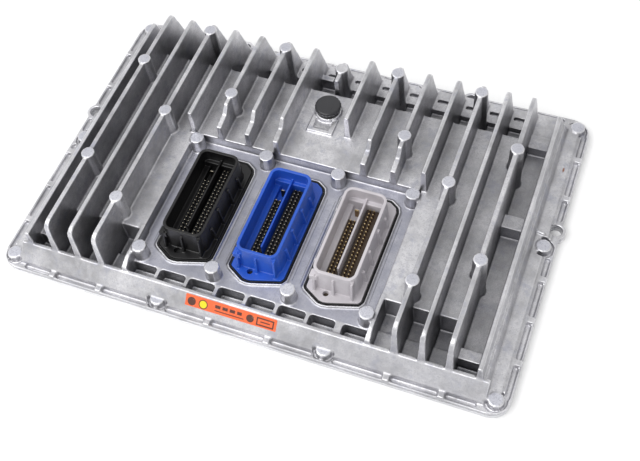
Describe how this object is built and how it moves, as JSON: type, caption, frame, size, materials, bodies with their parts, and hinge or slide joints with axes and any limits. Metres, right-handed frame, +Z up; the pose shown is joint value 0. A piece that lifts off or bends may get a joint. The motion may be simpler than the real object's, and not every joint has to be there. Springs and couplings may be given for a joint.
{
  "type": "engine control unit",
  "caption": "Finned cast aluminium engine control unit with a row of open pin headers in a recess, a round breather, and a stepped flange with mounting eyelets.",
  "frame": {"origin": "under the middle of the overall box, on the plane of the base cover that the unit stands on", "axes": "+Z up out of the fins, +X along the long side, +Y towards the back edge with two eyelets; the header recess opens towards -Y"},
  "size_m": [0.26, 0.1704, 0.033],
  "materials": {
    "cast_aluminium": "satin die-cast skin, mottled, with brighter edges",
    "sheet_aluminium": "satin sheet",
    "black_plastic": "smooth moulded, slightly glossy",
    "blue_plastic": "smooth moulded",
    "grey_plastic": "smooth moulded",
    "seal_rubber": "matt black",
    "zinc_steel": "zinc plated",
    "board_green": "solder resist on glass-filled board",
    "chip_black": "moulded package",
    "thermal_pad": "soft filled pad",
    "can_metal": "drawn can"
  },
  "bodies": {
    "root": {"housing": "cast_aluminium", "base_cover": "sheet_aluminium", "header_black": "black_plastic", "vent_cap": "black_plastic", "header_blue": "blue_plastic", "header_grey": "grey_plastic", "header_seal_black": "seal_rubber", "header_seal_blue": "seal_rubber", "header_seal_grey": "seal_rubber", "cover_gasket": "seal_rubber", "vent_ring": "seal_rubber", "cover_screw_1": "zinc_steel", "cover_screw_2": "zinc_steel", "cover_screw_3": "zinc_steel", "cover_screw_4": "zinc_steel", "cover_screw_5": "zinc_steel", "cover_screw_6": "zinc_steel", "cover_screw_7": "zinc_steel", "cover_screw_8": "zinc_steel", "cover_screw_9": "zinc_steel", "cover_screw_10": "zinc_steel", "board_screw_1": "zinc_steel", "board_screw_2": "zinc_steel", "board_screw_3": "zinc_steel", "board_screw_4": "zinc_steel", "board_screw_5": "zinc_steel", "board_screw_6": "zinc_steel", "circuit_board": "board_green", "processor": "chip_black", "flash_memory": "chip_black", "power_regulator": "chip_black", "boost_inductor_1": "chip_black", "boost_inductor_2": "chip_black", "injector_driver_1": "chip_black", "injector_driver_2": "chip_black", "injector_driver_3": "chip_black", "injector_driver_4": "chip_black", "processor_pad": "thermal_pad", "driver_pad_1": "thermal_pad", "driver_pad_2": "thermal_pad", "driver_pad_3": "thermal_pad", "driver_pad_4": "thermal_pad", "crystal": "can_metal", "boost_capacitor_1": "can_metal", "boost_capacitor_2": "can_metal", "boost_capacitor_3": "can_metal", "boost_capacitor_4": "can_metal"}
  },
  "joints": []
}
